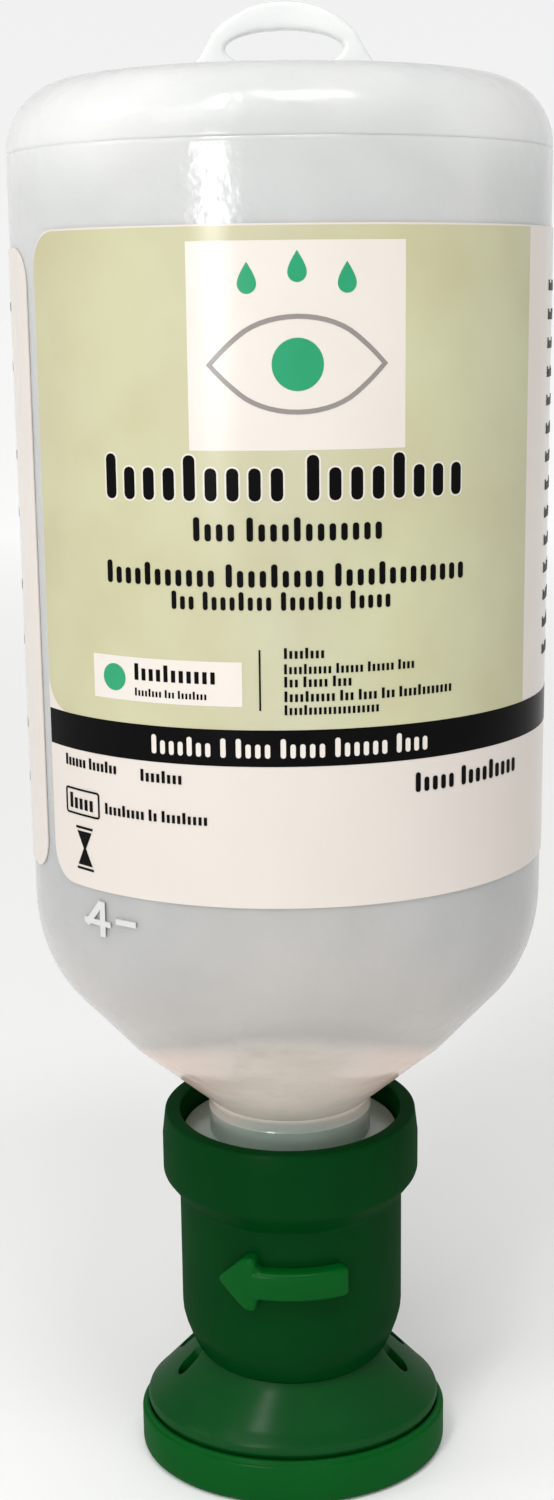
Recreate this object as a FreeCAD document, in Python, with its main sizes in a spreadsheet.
import FreeCAD, Part
import Sketcher
import math
import os

# A 500 ml squeeze bottle of sterile saline that stands upside down on its eye cup.
# Millimetres. Z is up, the front label faces -Y, and the origin is under the dust cap's middle.
DIMENSIONS = {
    # dust cap: a shallow oval pan with a hollow post
    "pan_half_width": 25.0,
    "pan_half_depth": 20.4,
    "pan_wall": 1.2,
    "pan_floor": 1.4,
    "pan_height": 6.9,
    "pan_edge_round": 2.0,
    "lip_width": 0.5,
    "lip_height": 0.8,
    "post_radius": 4.0,
    "post_bore": 2.6,
    "post_top": 25.0,
    "stopper_radius": 9.0,
    "stopper_top": 26.9,
    # eye cup: a flared cone on a short tube
    "cup_gap": 0.35,
    "cup_foot": 1.8,
    "cup_shoulder": 10.0,
    "cup_wall": 1.6,
    "cup_throat_radius": 15.0,
    "cup_throat_height": 18.4,
    "cup_tube_radius": 13.4,
    "cup_tube_bore": 11.4,
    "cup_tube_top": 26.9,
    "slot_width": 2.6,
    "slot_near": 16.4,
    "slot_far": 17.9,
    "slot_angle": 12.5,
    # screw sleeve with its collar
    "sleeve_foot": 18.5,
    "sleeve_foot_radius": 15.4,
    "sleeve_round": 12.0,
    "sleeve_round_top": 25.4,
    "sleeve_radius": 17.9,
    "sleeve_socket": 13.5,
    "sleeve_floor": 29.6,
    "sleeve_floor_top": 31.8,
    "sleeve_floor_bore": 11.0,
    "sleeve_bore": 14.6,
    "collar_low": 45.6,
    "collar_chamfer_top": 49.2,
    "collar_radius": 20.5,
    "collar_waist": 55.2,
    "collar_top_radius": 20.0,
    "collar_bore": 17.6,
    "collar_floor": 51.5,
    "collar_top": 59.4,
    "collar_round": 0.7,
    # raised arrow on the sleeve
    "arrow_height": 37.5,
    "arrow_shaft": 4.8,
    "arrow_head": 9.0,
    "arrow_proud": 2.2,
    "arrow_start": 26.5,
    "arrow_neck": 16.8,
    "arrow_tip": 36.5,
    # spray rose and its sliding lip seal
    "rose_radius": 13.4,
    "rose_low": 27.0,
    "rose_plate": 1.6,
    "rose_flange_top": 29.5,
    "rose_skirt": 10.6,
    "rose_skirt_bore": 8.6,
    "rose_top": 41.0,
    "throat_bore": 6.0,
    "throat_low": 31.6,
    "throat_top": 33.1,
    "seal_groove_radius": 9.8,
    "seal_groove_low": 37.0,
    "seal_groove_top": 39.0,
    "jet_radius": 0.65,
    "jet_ring": 5.4,
    "seal_play": 0.06,
    # valve insert fixed in the neck
    "insert_low": 50.0,
    "insert_top": 54.0,
    "insert_wall": 1.5,
    "spoke_width": 2.0,
    "stem_radius": 2.4,
    "valve_radius": 5.95,
    # neck
    "neck_foot": 33.0,
    "neck_radius": 12.85,
    "neck_bore": 11.3,
    "bead_radius": 17.0,
    "bead_low": 54.4,
    "bead_thickness": 1.5,
    "thread_pitch": 4.0,
    "thread_rise": 1.2,
    "thread_base": 1.5,
    "thread_crest": 0.8,
    "thread_root": 0.5,
    "thread_low": 37.4,
    "thread_height": 8.0,
    # bottle, inverted: shoulder cones, wall, rounded base at the top
    "neck_top": 62.0,
    "lower_cone_top": 72.6,
    "lower_cone_width": 25.3,
    "lower_cone_depth": 23.5,
    "upper_cone_top": 82.0,
    "upper_cone_width": 33.9,
    "upper_cone_depth": 30.7,
    "wall_low": 96.9,
    "half_width": 39.0,
    "half_depth": 35.0,
    "shell_wall": 1.1,
    "base_round": 9.6,
    "base_height": 215.4,
    "fill_gap": 0.05,
    "fill_low": 57.0,
    "fill_level": 204.5,
    # hanging loop on the base
    "loop_half_width": 14.8,
    "loop_neck_half_width": 10.2,
    "loop_neck_height": 6.6,
    "loop_flare": 24.0,
    "loop_crown": 14.5,
    "loop_thickness": 2.8,
    "hole_half_width": 8.45,
    "hole_half_height": 2.55,
    "hole_middle": 4.35,
    # labels and graduation
    "label_thickness": 0.2,
    "label_gap": 0.03,
    "front_label_low": 103.4,
    "front_label_height": 91.3,
    "front_label_start": 207.4,
    "front_label_sweep": 172.6,
    "back_label_low": 103.2,
    "back_label_height": 89.4,
    "back_label_start": 23.5,
    "back_label_sweep": 180.1,
    "mark_proud": 0.4,
    "mark_stroke": 0.8,
    "mark_left": -29.4,
    "mark_low": 96.6,
    "mark_height": 5.2,
    "mark_width": 3.2,
    "mark_tick": 3.0,
}
SHOULDER_SWEEP = 54
ROUND_STEP = 18

doc = FreeCAD.newDocument("eyewash_bottle")
sheet = doc.addObject("Spreadsheet::Sheet", "Dims")


def fill_sheet():
    for row, (alias, value) in enumerate(DIMENSIONS.items(), start=1):
        cell = f"A{row}"
        sheet.set(cell, str(value))
        sheet.setAlias(cell, alias)
    doc.recompute()


def value(alias):
    return float(sheet.get(alias))


def evaluate(expression):
    return float(sheet.evalExpression(expression.replace("Dims.", "")))


def bind(thing, **expressions):
    for name, expression in expressions.items():
        thing.setExpression(name.replace("_of_", "."), expression)


def add(kind, name, **expressions):
    thing = doc.addObject(kind, name)
    thing.Label = name
    bind(thing, **expressions)
    return thing


def raise_to(thing, height):
    thing.setExpression("Placement.Base.z", height)
    return thing


# ---- booleans and primitives


def cylinder(name, radius, low, height):
    return raise_to(add("Part::Cylinder", name, Radius=radius, Height=height), low)


def ring(name, outer, inner, low, high):
    height = f"{high} - ({low})"
    body = cylinder(f"{name}_outer", outer, low, height)
    bore = cylinder(f"{name}_bore", inner, low, height)
    return cut(name, body, bore)


def cut(name, base, tool):
    thing = add("Part::Cut", name)
    thing.Base = base
    thing.Tool = tool
    return thing


def fuse(name, *shapes):
    thing = add("Part::MultiFuse", name)
    thing.Refine = False
    thing.Shapes = list(shapes)
    return thing


def common(name, *shapes):
    thing = add("Part::MultiCommon", name)
    thing.Shapes = list(shapes)
    return thing


def oval(name, width, depth, height):
    return raise_to(add("Part::Ellipse", name, MajorRadius=width, MinorRadius=depth), height)


def loft(name, sections, ruled):
    thing = add("Part::Loft", name)
    thing.Sections = sections
    thing.Solid = True
    thing.Ruled = ruled
    return thing


def oval_prism(name, width, depth, low, high):
    ends = [oval(f"{name}_low", width, depth, low), oval(f"{name}_high", width, depth, high)]
    return loft(name, ends, True)


def turn(thing, degrees):
    rotation = FreeCAD.Rotation(FreeCAD.Vector(0, 0, 1), degrees)
    thing.Placement = FreeCAD.Placement(FreeCAD.Vector(0, 0, 0), rotation)
    return thing


# ---- PartDesign helpers


def origin_plane(body, role):
    for feature in body.Origin.OriginFeatures:
        if feature.Role == role:
            return feature
    raise ValueError(role)


def new_body(name):
    body = doc.addObject("PartDesign::Body", name)
    body.Label = name
    return body


def new_sketch(body, name, role):
    sketch = body.newObject("Sketcher::SketchObject", name)
    sketch.AttachmentSupport = [(origin_plane(body, role), "")]
    sketch.MapMode = "FlatFace"
    return sketch


def draw_outline(sketch, points, arcs=()):
    """A closed outline whose corners are bound to the sheet.

    arcs holds (corner number, radius, side): the edge that leaves that corner is an arc, and side is
    +1 where it bulges to the left of its chord.
    """
    spots = [FreeCAD.Vector(evaluate(x), evaluate(y), 0) for x, y in points]
    bends = {number: (radius, side) for number, radius, side in arcs}
    first = sketch.GeometryCount
    for number, start in enumerate(spots):
        end = spots[(number + 1) % len(spots)]
        if number in bends:
            radius, side = bends[number]
            sketch.addGeometry(arc_between(start, end, evaluate(radius), side), False)
        else:
            sketch.addGeometry(Part.LineSegment(start, end), False)
    begins = []
    for number in range(len(spots)):
        flipped = number in bends and bends[number][1] > 0
        begins.append(2 if flipped else 1)
    for number in range(len(spots)):
        after = (number + 1) % len(spots)
        end_point = 3 - begins[number]
        sketch.addConstraint(
            sketch_constraint("Coincident", first + number, end_point, first + after, begins[after])
        )
    for number, (x, y) in enumerate(points):
        edge = first + number
        for kind, expression in (("DistanceX", x), ("DistanceY", y)):
            index = sketch.addConstraint(
                sketch_constraint(kind, -1, 1, edge, begins[number], evaluate(expression))
            )
            sketch.setExpression(f"Constraints[{index}]", expression)
        if number in bends:
            radius = bends[number][0]
            index = sketch.addConstraint(sketch_constraint("Radius", edge, evaluate(radius)))
            sketch.setExpression(f"Constraints[{index}]", radius)
    return sketch


def sketch_constraint(*details):
    return Sketcher.Constraint(*details)


def arc_between(start, end, radius, side):
    chord = end - start
    half = chord.Length / 2
    across = FreeCAD.Vector(-chord.y, chord.x, 0).normalize()
    centre = (start + end) / 2 - across * side * math.sqrt(radius**2 - half**2)
    middle = centre + across * side * radius
    return Part.Arc(start, middle, end)


def revolve(body, name, points, arcs=()):
    sketch = draw_outline(new_sketch(body, f"{name}_profile", "XZ_Plane"), points, arcs)
    feature = body.newObject("PartDesign::Revolution", name)
    feature.Profile = sketch
    feature.ReferenceAxis = (sketch, ["V_Axis"])
    feature.Angle = 360
    sketch.Visibility = False
    return feature


def helix_ridge(body, name, inner, low, outward):
    """A trapezoid ridge wound up a cylinder of the given radius."""
    side = "+" if outward else "-"
    crest = f"{inner} {side} Dims.thread_rise"
    root = f"{inner} {'-' if outward else '+'} Dims.thread_root"
    points = [
        (root, f"{low} - Dims.thread_base / 2"),
        (crest, f"{low} - Dims.thread_crest / 2"),
        (crest, f"{low} + Dims.thread_crest / 2"),
        (root, f"{low} + Dims.thread_base / 2"),
    ]
    sketch = draw_outline(new_sketch(body, f"{name}_profile", "XZ_Plane"), points)
    feature = body.newObject("PartDesign::AdditiveHelix", name)
    feature.Profile = sketch
    feature.ReferenceAxis = (sketch, ["V_Axis"])
    feature.Mode = "pitch-height-angle"
    bind(feature, Pitch="Dims.thread_pitch", Height="Dims.thread_height")
    return feature


# ---- the bottle's form, at any inset from its outer surface


def round_section(name, inset, sweep, low, span, width_drop, depth_drop, upward):
    grow = f"(1 - cos({sweep}deg))"
    width = f"Dims.half_width - {inset} - ({width_drop}) * {grow}"
    depth = f"Dims.half_depth - {inset} - ({depth_drop}) * {grow}"
    sign = "+" if upward else "-"
    return oval(name, width, depth, f"{low} {sign} ({span}) * sin({sweep}deg)")


def shoulder_curve(name, inset):
    grow = f"(1 - cos({SHOULDER_SWEEP}deg))"
    span = f"(Dims.wall_low - Dims.upper_cone_top) / sin({SHOULDER_SWEEP}deg)"
    width_drop = f"(Dims.half_width - Dims.upper_cone_width) / {grow}"
    depth_drop = f"(Dims.half_depth - Dims.upper_cone_depth) / {grow}"
    sections = []
    for sweep in range(SHOULDER_SWEEP, -1, -ROUND_STEP):
        section = f"{name}_curve_{sweep}"
        drops = (width_drop, depth_drop)
        sections.append(round_section(section, inset, sweep, "Dims.wall_low", span, *drops, False))
    return loft(f"{name}_curve", sections, False)


def base_curve(name, inset):
    radius = f"(Dims.base_round - {inset})"
    low = "Dims.base_height - Dims.base_round"
    sections = []
    for sweep in range(0, 91, ROUND_STEP):
        section = f"{name}_base_{sweep}"
        sections.append(round_section(section, inset, sweep, low, radius, radius, radius, True))
    return loft(f"{name}_base", sections, False)


def bottle_form(name, inset, neck):
    lower = oval(
        f"{name}_lower",
        f"Dims.lower_cone_width - {inset}",
        f"Dims.lower_cone_depth - {inset}",
        "Dims.lower_cone_top",
    )
    upper = oval(
        f"{name}_upper",
        f"Dims.upper_cone_width - {inset}",
        f"Dims.upper_cone_depth - {inset}",
        "Dims.upper_cone_top",
    )
    mouth = oval(f"{name}_mouth", neck, neck, "Dims.neck_top")
    wall = oval_prism(
        f"{name}_wall",
        f"Dims.half_width - {inset}",
        f"Dims.half_depth - {inset}",
        "Dims.wall_low",
        "Dims.base_height - Dims.base_round",
    )
    return fuse(
        f"{name}_form",
        loft(f"{name}_lower_cone", [mouth, lower], True),
        loft(f"{name}_upper_cone", [lower, upper], True),
        shoulder_curve(name, inset),
        wall,
        base_curve(name, inset),
    )


def make_bottle_shell():
    outer = bottle_form("outside", "0", "Dims.neck_radius")
    inner = bottle_form("inside", "Dims.shell_wall", "Dims.neck_bore")
    height = "Dims.neck_top - Dims.neck_foot"
    neck = cylinder("neck_wall", "Dims.neck_radius", "Dims.neck_foot", height)
    bead = cylinder("neck_bead", "Dims.bead_radius", "Dims.bead_low", "Dims.bead_thickness")
    bore = cylinder("neck_hollow", "Dims.neck_bore", "Dims.neck_foot", height)
    thread = new_body("neck_thread")
    helix_ridge(thread, "neck_ridge", "Dims.neck_radius", "Dims.thread_low", True)
    solid = fuse("bottle_solid", outer, neck, bead, thread)
    hollow = fuse("bottle_hollow", inner, bore)
    return cut("bottle_shell", solid, hollow)


def make_saline_fill():
    inset = "(Dims.shell_wall + Dims.fill_gap)"
    radius = "Dims.neck_bore - Dims.fill_gap"
    form = bottle_form("liquid", inset, radius)
    stem = cylinder("liquid_stem", radius, "Dims.fill_low", "Dims.neck_top - Dims.fill_low")
    room = cylinder("liquid_room", "2 * Dims.half_width", "Dims.fill_low", "Dims.fill_level - Dims.fill_low")
    return common("saline_fill", fuse("liquid_whole", form, stem), room)


def make_hanging_loop():
    body = new_body("loop_arch")
    base = "Dims.base_height"
    points = [
        ("-Dims.loop_half_width", base),
        ("Dims.loop_half_width", base),
        ("Dims.loop_neck_half_width", f"{base} + Dims.loop_neck_height"),
        ("-Dims.loop_neck_half_width", f"{base} + Dims.loop_neck_height"),
    ]
    arcs = [(1, "Dims.loop_flare", 1), (2, "Dims.loop_crown", -1), (3, "Dims.loop_flare", 1)]
    pad = body.newObject("PartDesign::Pad", "loop_plate")
    pad.Profile = draw_outline(new_sketch(body, "loop_outline", "XZ_Plane"), points, arcs)
    pad.Midplane = True
    bind(pad, Length="Dims.loop_thickness")
    eye = oval("loop_eye", "Dims.hole_half_width", "Dims.hole_half_height", "Dims.base_height + Dims.hole_middle")
    eye.Placement.Rotation = FreeCAD.Rotation(FreeCAD.Vector(1, 0, 0), 90)
    punch = add("Part::Extrusion", "loop_punch", LengthFwd="2 * Dims.loop_thickness")
    punch.Base = eye
    punch.DirMode = "Custom"
    punch.Dir = FreeCAD.Vector(0, 1, 0)
    punch.Symmetric = True
    punch.Solid = True
    return cut("hanging_loop", body, punch)


def label(name):
    start = "Dims.label_gap"
    end = "Dims.label_gap + Dims.label_thickness"
    low = f"Dims.{name}_low"
    high = f"Dims.{name}_low + Dims.{name}_height"
    grown = [f"Dims.half_width + {end}", f"Dims.half_depth + {end}"]
    outer = oval_prism(f"{name}_outer", *grown, low, high)
    inner = oval_prism(f"{name}_inner", f"Dims.half_width + {start}", f"Dims.half_depth + {start}", low, high)
    sheet_ring = cut(f"{name}_ring", outer, inner)
    wedge = cylinder(f"{name}_wedge", "2 * Dims.half_width", low, f"Dims.{name}_height")
    bind(wedge, Angle=f"Dims.{name}_sweep")
    wedge.setExpression("Placement.Rotation.Angle", f"Dims.{name}_start")
    return common(name, sheet_ring, wedge)


def stroke(name, left, low, width, height, lean=0):
    bar = add("Part::Box", name, Length=width, Width="Dims.half_depth", Height=height)
    bar.setExpression("Placement.Base.x", left)
    bar.setExpression("Placement.Base.y", "-Dims.half_depth - 1")
    bar.setExpression("Placement.Base.z", low)
    bar.Placement.Rotation = FreeCAD.Rotation(FreeCAD.Vector(0, 1, 0), lean)
    return bar


def make_volume_mark():
    """A raised figure 4 and its tick, following the start of the shoulder."""
    left = "Dims.mark_left"
    low = "Dims.mark_low"
    line = "Dims.mark_stroke"
    strokes = [
        stroke("mark_upright", f"{left} + Dims.mark_width - {line}", low, line, "Dims.mark_height"),
        stroke("mark_bar", left, f"{low} + Dims.mark_height * 0.3", f"Dims.mark_width + {line}", line),
        stroke("mark_slope", left, f"{low} + Dims.mark_height * 0.3", line, "Dims.mark_height * 0.85", 32),
        stroke("mark_tick", f"{left} + Dims.mark_width + 2 * {line}", f"{low} + Dims.mark_height * 0.45",
               "Dims.mark_tick", line),
    ]
    layer = bottle_form("mark_layer", "-Dims.mark_proud", "Dims.neck_radius")
    figure = common("mark_prism", fuse("mark_strokes", *strokes), layer)
    return cut("volume_mark", figure, bottle_form("mark_seat", "-Dims.label_gap", "Dims.neck_radius"))


def make_valve_insert():
    reach = "Dims.neck_bore - Dims.fill_gap"
    height = "Dims.insert_top - Dims.insert_low"
    hoop = ring("insert_hoop", reach, f"{reach} - Dims.insert_wall", "Dims.insert_low", "Dims.insert_top")
    spokes = []
    for number in range(3):
        name = f"insert_spoke_{number}"
        spoke = add("Part::Box", name, Length=f"{reach} - 0.5", Width="Dims.spoke_width", Height=height)
        angle = 30 + 120 * number
        spoke.Placement.Rotation = FreeCAD.Rotation(FreeCAD.Vector(0, 0, 1), angle)
        half = "Dims.spoke_width / 2"
        spoke.setExpression("Placement.Base.x", f"{half} * sin({angle}deg)")
        spoke.setExpression("Placement.Base.y", f"-{half} * cos({angle}deg)")
        raise_to(spoke, "Dims.insert_low")
        spokes.append(spoke)
    stem_height = "Dims.insert_top - Dims.throat_low"
    stem = cylinder("insert_stem", "Dims.stem_radius", "Dims.throat_low", stem_height)
    thickness = "Dims.throat_top - Dims.throat_low"
    valve = cylinder("insert_valve", "Dims.valve_radius", "Dims.throat_low", thickness)
    return fuse("valve_insert", hoop, *spokes, stem, valve)


def make_lip_seal():
    body = new_body("lip_seal")
    inner = "Dims.seal_groove_radius + Dims.seal_play"
    outer = "Dims.neck_bore - Dims.seal_play"
    low = "Dims.seal_groove_low + Dims.seal_play"
    high = "Dims.seal_groove_top - Dims.seal_play"
    points = [(inner, low), (outer, low), (outer, high), (inner, high)]
    revolve(body, "seal_ring", points)
    return body


def make_spray_rose():
    blank = new_body("rose_blank")
    groove = "Dims.seal_groove_radius"
    points = [
        ("0", "Dims.rose_low"),
        ("Dims.rose_radius", "Dims.rose_low"),
        ("Dims.rose_radius", "Dims.rose_flange_top"),
        ("Dims.rose_skirt", "Dims.rose_flange_top"),
        ("Dims.rose_skirt", "Dims.seal_groove_low"),
        (groove, "Dims.seal_groove_low"),
        (groove, "Dims.seal_groove_top"),
        ("Dims.rose_skirt", "Dims.seal_groove_top"),
        ("Dims.rose_skirt", "Dims.rose_top"),
        ("Dims.rose_skirt_bore", "Dims.rose_top"),
        ("Dims.rose_skirt_bore", "Dims.throat_top"),
        ("Dims.throat_bore", "Dims.throat_top"),
        ("Dims.throat_bore", "Dims.throat_low"),
        ("Dims.rose_skirt_bore", "Dims.throat_low"),
        ("Dims.rose_skirt_bore", "Dims.rose_low + Dims.rose_plate"),
        ("0", "Dims.rose_low + Dims.rose_plate"),
    ]
    revolve(blank, "rose_turned", points)
    jets = [cylinder("jet_middle", "Dims.jet_radius", "Dims.rose_low", "Dims.rose_plate")]
    for count, reach in ((6, 0.5), (12, 1.0)):
        for number in range(count):
            jet = cylinder(f"jet_{count}_{number}", "Dims.jet_radius", "Dims.rose_low", "Dims.rose_plate")
            angle = 360 / count * number
            jet.setExpression("Placement.Base.x", f"Dims.jet_ring * {reach} * cos({angle}deg)")
            jet.setExpression("Placement.Base.y", f"Dims.jet_ring * {reach} * sin({angle}deg)")
            jets.append(jet)
    return cut("spray_rose", blank, fuse("jets", *jets))


def make_screw_sleeve():
    turned = new_body("sleeve_turned")
    points = [
        ("Dims.sleeve_socket", "Dims.sleeve_foot"),
        ("Dims.sleeve_foot_radius", "Dims.sleeve_foot"),
        ("Dims.sleeve_radius", "Dims.sleeve_round_top"),
        ("Dims.sleeve_radius", "Dims.collar_low"),
        ("Dims.collar_radius", "Dims.collar_chamfer_top"),
        ("Dims.collar_radius", "Dims.collar_waist"),
        ("Dims.collar_top_radius", "Dims.collar_top"),
        ("Dims.collar_bore", "Dims.collar_top"),
        ("Dims.collar_bore", "Dims.collar_floor"),
        ("Dims.sleeve_bore", "Dims.collar_floor"),
        ("Dims.sleeve_bore", "Dims.sleeve_floor_top"),
        ("Dims.sleeve_floor_bore", "Dims.sleeve_floor_top"),
        ("Dims.sleeve_floor_bore", "Dims.sleeve_floor"),
        ("Dims.sleeve_socket", "Dims.sleeve_floor"),
    ]
    turning = revolve(turned, "sleeve_turning", points, [(1, "Dims.sleeve_round", -1)])
    doc.recompute()
    rounds = turned.newObject("PartDesign::Fillet", "collar_rounds")
    rounds.Base = (turning, edges_at(turning.Shape, value("collar_top")))
    bind(rounds, Radius="Dims.collar_round")
    doc.recompute()
    thread = new_body("sleeve_thread")
    start = "Dims.thread_low + Dims.thread_pitch / 2"
    helix_ridge(thread, "sleeve_ridge", "Dims.sleeve_bore", start, False)
    return fuse("screw_sleeve", fuse("sleeve_with_arrow", turned, arrow()), thread)


def edges_at(shape, height):
    names = []
    for number, edge in enumerate(shape.Edges, start=1):
        if abs(edge.BoundBox.ZMin - height) < 1e-6 and abs(edge.BoundBox.ZMax - height) < 1e-6:
            names.append(f"Edge{number}")
    return names


def arrow():
    """The shaft and head as an outline across the front, trimmed to a band around the sleeve."""
    blank = new_body("arrow_blank")
    sketch = new_sketch(blank, "arrow_outline", "XZ_Plane")
    reach = "(Dims.sleeve_radius + Dims.arrow_proud)"
    middle = "Dims.arrow_height"
    tail = f"{reach} * sin(Dims.arrow_start * 1deg)"
    neck = f"-{reach} * sin(Dims.arrow_neck * 1deg)"
    points = [
        (tail, f"{middle} - Dims.arrow_shaft / 2"),
        (tail, f"{middle} + Dims.arrow_shaft / 2"),
        (neck, f"{middle} + Dims.arrow_shaft / 2"),
        (neck, f"{middle} + Dims.arrow_head / 2"),
        (f"-{reach} * sin(Dims.arrow_tip * 1deg)", middle),
        (neck, f"{middle} - Dims.arrow_head / 2"),
        (neck, f"{middle} - Dims.arrow_shaft / 2"),
    ]
    draw_outline(sketch, points)
    pad = blank.newObject("PartDesign::Pad", "arrow_pad")
    pad.Profile = sketch
    bind(pad, Length=reach)
    low = "Dims.arrow_height - Dims.arrow_head"
    height = "2 * Dims.arrow_head"
    inner = "Dims.sleeve_radius - 0.5"
    band = ring("arrow_band", reach, inner, low, f"{low} + {height}")
    return common("arrow", blank, band)


def make_eye_cup():
    rim_width = "Dims.pan_half_width - Dims.pan_wall - Dims.cup_gap"
    rim_depth = "Dims.pan_half_depth - Dims.pan_wall - Dims.cup_gap"
    outer = cup_form("cup_outside", rim_width, rim_depth, "Dims.cup_throat_radius", "0")
    wall = "Dims.cup_wall"
    inner = cup_form("cup_inside", f"{rim_width} - {wall}", f"{rim_depth} - {wall}",
                     "Dims.cup_tube_bore", "Dims.cup_wall * 0.4")
    tube_low = "Dims.cup_throat_height - 2"
    tube = cylinder("cup_tube", "Dims.cup_tube_radius", tube_low, f"Dims.cup_tube_top - ({tube_low})")
    bore = cylinder("cup_bore", "Dims.cup_tube_bore", tube_low, f"Dims.cup_tube_top - ({tube_low})")
    slots = [drain_slot(f"drain_slot_{number}", angle) for number, angle in enumerate(slot_angles())]
    return cut("eye_cup", fuse("cup_solid", outer, tube), fuse("cup_hollow", inner, bore, *slots))


def slot_angles():
    tilt = value("slot_angle")
    return [tilt, 180 - tilt, 180 + tilt, 360 - tilt]


def cup_form(name, width, depth, throat, lift):
    foot = oval(f"{name}_foot", width, depth, "Dims.cup_foot")
    shoulder = oval(f"{name}_shoulder", width, depth, f"Dims.cup_shoulder - {lift}")
    top = oval(f"{name}_throat", throat, throat, f"Dims.cup_throat_height - {lift}")
    rim = loft(f"{name}_rim", [foot, shoulder], True)
    return fuse(name, rim, loft(f"{name}_cone", [shoulder, top], True))


def drain_slot(name, angle):
    low = "Dims.cup_shoulder - 3"
    height = "Dims.cup_throat_height - Dims.cup_shoulder + 3"
    length = "Dims.slot_far - Dims.slot_near"
    middle = add("Part::Box", f"{name}_middle", Length=length, Width="Dims.slot_width", Height=height)
    bind(middle, Placement_of_Base_of_x="Dims.slot_near", Placement_of_Base_of_y="-Dims.slot_width / 2")
    raise_to(middle, low)
    ends = []
    for end in ("near", "far"):
        cap = cylinder(f"{name}_{end}", "Dims.slot_width / 2", low, height)
        bind(cap, Placement_of_Base_of_x=f"Dims.slot_{end}")
        ends.append(cap)
    return turn(fuse(name, middle, *ends), angle)


def make_dust_cap():
    wide = "Dims.pan_half_width"
    deep = "Dims.pan_half_depth"
    trim = "Dims.pan_edge_round"
    foot = oval("pan_foot", f"{wide} - {trim} * 0.6", f"{deep} - {trim} * 0.6", "0")
    turn_up = oval("pan_turn", f"{wide} - {trim} * 0.2", f"{deep} - {trim} * 0.2", f"{trim} * 0.3")
    knee = oval("pan_knee", wide, deep, trim)
    edge = fuse("pan_edge", loft("pan_heel", [foot, turn_up], True), loft("pan_toe", [turn_up, knee], True))
    wall = oval_prism("pan_side", wide, deep, trim, "Dims.pan_height")
    lip_high = "Dims.pan_height + Dims.lip_height"
    lip = oval_prism("pan_lip", f"{wide} - Dims.lip_width", f"{deep} - Dims.lip_width",
                     "Dims.pan_height", lip_high)
    hollow = oval_prism("pan_hollow", f"{wide} - Dims.pan_wall", f"{deep} - Dims.pan_wall",
                        "Dims.pan_floor", lip_high)
    pan = cut("pan", fuse("pan_solid", edge, wall, lip), hollow)
    post = ring("cap_post", "Dims.post_radius", "Dims.post_bore", "Dims.pan_floor - 0.5", "Dims.post_top")
    return fuse("dust_cap", pan, post)


def make_outlet_stopper():
    body = new_body("outlet_stopper")
    stub = "Dims.post_bore - Dims.seal_play"
    depth = "Dims.post_top - 4"
    points = [
        ("0", depth),
        (stub, depth),
        (stub, "Dims.post_top"),
        ("Dims.stopper_radius", "Dims.post_top"),
        ("Dims.stopper_radius", "Dims.stopper_top"),
        ("0", "Dims.stopper_top"),
    ]
    revolve(body, "stopper_turning", points)
    return body


MAKERS = [
    make_bottle_shell,
    make_hanging_loop,
    make_saline_fill,
    make_volume_mark,
    make_valve_insert,
    make_lip_seal,
    make_spray_rose,
    make_screw_sleeve,
    make_eye_cup,
    make_dust_cap,
    make_outlet_stopper,
]


def check(parts):
    for thing in doc.Objects:
        if "Invalid" in thing.State or "Error" in thing.State:
            raise RuntimeError(f"{thing.Name} failed: {thing.State}")
    for part in parts:
        shape = part.Shape
        if shape.isNull() or not shape.isValid() or not shape.Solids:
            raise RuntimeError(f"{part.Label} has no valid solid")
        print(f"{part.Label}: {len(shape.Solids)} solid(s), {shape.Volume / 1000:.3f} cm3")


fill_sheet()
parts = [maker() for maker in MAKERS]
parts += [label("front_label"), label("back_label")]
doc.recompute()
check(parts)
os.makedirs("parts", exist_ok=True)
for part in parts:
    part.Shape.exportStep(f"parts/{part.Label}.step")
